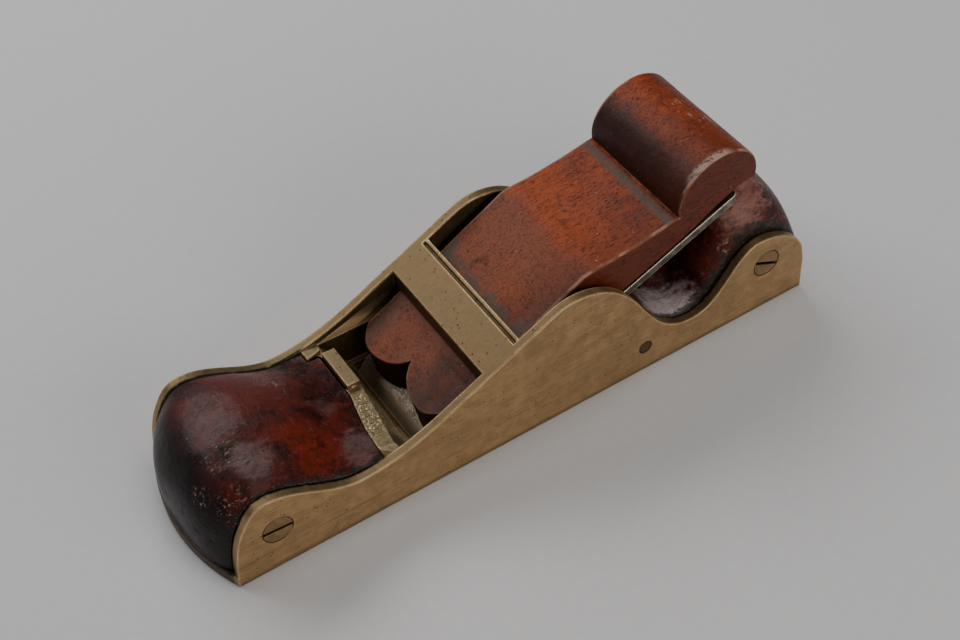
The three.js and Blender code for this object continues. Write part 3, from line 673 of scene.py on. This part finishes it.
def wall_front(y):
    """Where the front infill stops, just before the wall in front of the mouth."""
    places = [(-24.6, -49.7), (-19.5, -49.5), (-11, -48.9), (-3.5, -47.5), (2, -46.3), (19.6, -46.3),
              (20.4, -50.3), (24.6, -50.5)]
    for (y0, x0), (y1, x1) in zip(places, places[1:]):
        if y <= y1:
            return x0 + (x1 - x0) * (y - y0) / (y1 - y0)
    return places[-1][1]


def make_front_infill():
    rear = -50.8
    count = 150
    edge = spaced(cubic((-99.9, WOOD_Z), *TOE_RIM, ((rear, 17.6),)), count)
    crown = spaced(cubic(
        (-105.9, WOOD_Z),
        ((-106.3, 13), (-105.6, 19), (-102, 24)),
        ((-98, 29.8), (-92, 33), (-85, 33)),
        ((-74, 33), (-66, 28), (-58, 23)),
        ((-54, 20.5), (-50, 19), (rear + 3.8, 18)),
    ), count)
    rings = block_rings(edge, crown, lambda s, t: (1 - s ** 2.4) ** 0.8, stations(101))
    fitted = []
    bend = -64.0
    for ring in rings:
        y = ring[0][1]
        scale = (wall_front(y) - bend) / (ring[-1][0] - bend)
        ring = [(bend + (x - bend) * scale if x > bend else x, y, z) for x, y, z in ring]
        fitted.append(ring + [(ring[-1][0], y, WOOD_Z)])
    piece = wear(loft("front_infill_wood", fitted), 0.35, 0.30, lambda p: 1 if p.z > 6 else 0)
    piece.data.set_sharp_from_angle(angle=math.radians(50))
    return piece


def make_rear_infill():
    """Bed, then a valley across the body under the iron, then the hump at the heel."""
    bed_again = 72.5
    bed_end = 76.5
    heel = PLATE_HALF - 0.1
    meet = (36.8, bed_z(36.8))
    bed = fine([Vector((bed_x(WOOD_Z), WOOD_Z)), Vector(meet)], 1.5)[:-1]
    count = 190
    edge = spaced(cubic(meet, *HEEL_RIM, ((heel - 0.3, 12),), ((heel - 0.3, WOOD_Z),)), count)
    crown = spaced(cubic(
        meet,
        ((41.5, 23.5), (46, 13.4), (55, 13.4)),
        ((64, 13.4), (67, 36), (bed_again, bed_z(bed_again))),
        ((bed_end, bed_z(bed_end)),),
        ((84, 47), (93, 41), (97.5, 33)),
        ((99.4, 29), (heel, 24), (heel, 18)),
        ((heel, WOOD_Z),),
    ), count)
    bed_share = len(bed) / (len(bed) + count - 1)
    rings = block_rings(bed + edge, bed + crown,
                        lambda s, t: 1.0 if t <= bed_share else (1 - s ** 3) ** 0.6, stations(111))
    piece = wear(loft("rear_infill_wood", rings), 0.25, 0.22, lambda p: 1 if p.z > 6 and p.x > 45 else 0)
    piece.data.set_sharp_from_angle(angle=math.radians(50))
    return piece


# ---- iron's slope and the wedge ------------------------------------------------------------

IRON_PITCH = math.radians(22.8)
IRON_TOP_POINT = (35.6, 32.5)
IRON_THICKNESS = 2.8
GAP = 0.3
WEDGE_TOP_POINT = (2.5, 36.6)
WEDGE_TOP_SLOPE = math.tan(math.radians(28.3))
END_LEAN = math.radians(11)
ROLL_CENTRE = Vector((68.2, 54.0))
ROLL_RADII = (14.6, 12.9)


def iron_top(x):
    return IRON_TOP_POINT[1] + (x - IRON_TOP_POINT[0]) * math.tan(IRON_PITCH)


def bed_z(x):
    return iron_top(x) - (IRON_THICKNESS + GAP) / math.cos(IRON_PITCH)


def bed_x(z):
    return (z - bed_z(0)) / math.tan(IRON_PITCH)


def wedge_bottom(x):
    return iron_top(x) + GAP / math.cos(IRON_PITCH)


def wedge_top(x):
    return WEDGE_TOP_POINT[1] + (x - WEDGE_TOP_POINT[0]) * WEDGE_TOP_SLOPE


def roll_point(degrees):
    angle = math.radians(degrees)
    u = ROLL_RADII[0] * math.cos(angle)
    v = ROLL_RADII[1] * math.sin(angle)
    turn = Vector((u * math.cos(IRON_PITCH) - v * math.sin(IRON_PITCH),
                   u * math.sin(IRON_PITCH) + v * math.cos(IRON_PITCH)))
    return ROLL_CENTRE + turn


def eased(a, corner, b, steps=8):
    """A curve from a to b that a corner point pulls out."""
    return [a.lerp(corner, k / steps).lerp(corner.lerp(b, k / steps), k / steps) for k in range(steps + 1)]


def wedge_body_line(shared_x):
    """The wedge's outline from its underside round the finger roll to its top, above shared_x."""
    under = [Vector((x, wedge_bottom(x))) for x in (shared_x, 57)]
    under.append(Vector((70, wedge_bottom(70) + 1.2)))
    roll = [roll_point(a) for a in range(-32, 172, 3)]
    lift = eased(under[-1], Vector((77, wedge_bottom(77) + 1.9)), roll[0])
    foot = eased(roll[-1], Vector((53.4, 51)), Vector((50.5, 50.3)))
    crest = cubic((50.5, 50.3), ((44, 49), (36, 47.6), (27.5, 47.3)))
    bend = eased(crest[-1], Vector((23.5, 47.1)), Vector((20.5, wedge_top(20.5))))
    top = [Vector((shared_x, wedge_top(shared_x)))]
    return fine(under[:-1] + lift + roll[1:-1] + foot + crest[1:-1] + bend + top, 0.9)


def lobe_plan():
    lobe = -31.4
    return cubic((-24.5, 23.1), ((-27.5, 20.8), (lobe, 18.5), (lobe, 13.5)), ((lobe, 8), (-29, 2), (-24, 0)))


def lobe_end(y, plan):
    """How far the lower end reaches at the distance y from the middle."""
    for a, b in zip(plan, plan[1:]):
        if b.y <= abs(y) <= a.y:
            return b.x + (a.x - b.x) * (abs(y) - b.y) / max(a.y - b.y, 1e-9)
    return plan[-1].x


def end_corner(reach, height_at):
    """Where the leaning end face meets a sloping face of the wedge."""
    pivot = Vector((-30.0, 10.0))
    start = pivot + Vector((math.cos(END_LEAN), math.sin(END_LEAN))) * (reach + 30.0)
    x = start.x
    for _ in range(12):
        x = start.x - (height_at(x) - start.y) * math.tan(END_LEAN)
    return Vector((x, height_at(x)))


def inset(points, distance):
    """A closed outline moved inwards by distance."""
    area = sum(a.x * b.y - b.x * a.y for a, b in zip(points, points[1:] + points[:1]))
    turn = 1 if area > 0 else -1
    found = []
    for before, p, after in zip(points[-1:] + points[:-1], points, points[1:] + points[:1]):
        tangent = (after - before).normalized()
        found.append(p + Vector((-tangent.y, tangent.x)) * turn * distance)
    return found


def make_wedge():
    shared_x = -20.0
    body = wedge_body_line(shared_x)
    plan = lobe_plan()
    corner = 0.55

    def outline(y):
        low = end_corner(lobe_end(y, plan), wedge_bottom)
        high = end_corner(lobe_end(y, plan), wedge_top)
        face = (high - low).normalized()
        top_way = (body[-1] - high).normalized()
        low_way = (body[0] - low).normalized()
        top_run = [body[-1].lerp(high + top_way * corner, k / 14) for k in range(1, 14)]
        low_run = [(low + low_way * corner).lerp(body[0], k / 14) for k in range(1, 14)]
        upper = eased(high + top_way * corner, high, high - face * corner, 4)
        lower = eased(low + face * corner, low, low + low_way * corner, 4)
        middle = [upper[-1].lerp(lower[0], k / 9) for k in range(1, 9)]
        return body + top_run + upper + middle + lower + low_run

    chamfer = ((0.0, 0.78), (0.28, 0.34), (0.6, 0.09), (0.95, 0.0))
    inner = WEDGE_Y - chamfer[-1][0]
    steps = 27
    across = [inner * k / steps for k in range(-steps, steps + 1)]
    rings = [[(p.x, -WEDGE_Y + back, p.y) for p in inset(outline(-WEDGE_Y + back), cut)]
             for back, cut in chamfer[:-1]]
    rings += [[(p.x, y, p.y) for p in outline(y)] for y in across]
    rings += [[(p.x, WEDGE_Y - back, p.y) for p in inset(outline(WEDGE_Y - back), cut)]
              for back, cut in reversed(chamfer[:-1])]
    piece = loft("wedge_wood", rings)

    def free(p):
        x = p.x - MIDDLE
        return 1.0 if p.z > wedge_bottom(x) + 1.0 and not -19 < x < -2 else 0.0

    wear(piece, 0.22, 0.22, free)
    return weigh_normals(piece, 42)


# ---- metal pieces ----------------------------------------------------------------------------

BRIDGE_FRONT_X = -16.4


def make_body():
    def wanted(low, high):
        screw_reach = 5.6
        for x, z in (*SCREWS.values(), PIN):
            if max(math.hypot(p.x - x, p.z - z) for p in (low, high)) < screw_reach:
                return False
        on_plate = min(abs(low.y), abs(high.y)) > INNER_Y - 0.2
        on_wall = high.x < -41 and low.x > -50.5 and low.z > 16.5
        bridge_front = max(abs(p.x - BRIDGE_FRONT_X) for p in (low, high)) < 0.2
        toe = high.x <= -99.5
        return on_plate or on_wall or bridge_front or toe

    return rounded_copy("body_casting", "body_gunmetal", 0.35, wanted)


def dress(piece, body, slot, material, *nodes):
    piece.data.materials.clear()
    piece.data.materials.append(material)
    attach(piece, body)
    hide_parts(*nodes)


def make_screws(material):
    for end in SCREWS:
        for side in ("near", "far"):
            node = f"{end}_screw_{side}"
            screw = rounded_copy(node, f"{node}_brass", 0.12, steps=2)
            dress(screw, "plane_body", "screw_brass", material, node)
    pin = rounded_copy("cross_pin", "cross_pin_brass", 0.18, steps=2)
    dress(pin, "plane_body", "screw_brass", material, "cross_pin")


# ---- assembly --------------------------------------------------------------------------------

ORANGE = (0.17, 0.017, 0.005)
RED = (0.105, 0.0095, 0.0045)
# Lavender grey is a painted sheen on the polish.
SHEEN_LAVENDER = (0.13, 0.080, 0.075)

# Front patches: red and orange are the wood's own tone; the lavender and grey ones on the crest and by the
# wall are painted sheen.
FRONT_TONES_AND_SHEENS = (
    ((-72, 13, 27), 22, RED, 0.9),
    ((-70, -10, 26), 11, ORANGE, 0.8),
    ((-70, -18, 23), 11, ORANGE, 0.85),
    ((-62, -16, 20), 9, ORANGE, 0.6),
    ((-54, -17, 17), 10, SHEEN_LAVENDER, 0.8),
    ((-56, -1, 21), 6, SHEEN_LAVENDER, 0.35),
    ((-89, 2, 33), 12, SHEEN_LAVENDER, 0.45),
    ((-84, -14, 31), 10, (0.20, 0.135, 0.13), 0.6),
)
FRONT_CHIPS = (((-93, -21, 25), 8), ((-90, -8, 33), 8), ((-65, 13, 26), 5), ((-99, -12, 24), 5))
# Rear patches: the pale grey one in the dip and the pinkish one on the hump are painted sheen; the reds are
# the wood's own tone.
REAR_TONES_AND_SHEENS = (
    ((51, -21, 15), 16, (0.62, 0.53, 0.52), 0.9),
    ((64, -18, 26), 10, (0.13, 0.020, 0.008), 0.8),
    ((80, -16, 40), 17, (0.33, 0.15, 0.12), 0.8),
    ((86, 4, 44), 12, RED, 0.8),
    ((87, -4, 43), 7, (0.34, 0.05, 0.014), 0.8),
)
REAR_CHIPS = (((91, -12, 37), 6), ((72, -22, 30), 4))

make_camera()
make_studio()
dress(make_body(), "plane_body", "gunmetal", gunmetal(), "body_casting")
dress(make_front_infill(), "plane_body", "infill_wood",
      infill_wood("front_infill_polish", FRONT_TONES_AND_SHEENS, FRONT_CHIPS, -91, -100), "front_infill")
dress(make_rear_infill(), "plane_body", "infill_wood",
      infill_wood("rear_infill_polish", REAR_TONES_AND_SHEENS, REAR_CHIPS, 93, 106), "rear_infill")
dress(rounded_copy("cutting_iron", "cutting_iron_steel", 0.22), "iron", "iron_steel", iron_steel(),
      "cutting_iron")
dress(make_wedge(), "wedge", "wedge_wood", wedge_wood(IRON_PITCH), "wedge")
make_screws(fastener_brass())
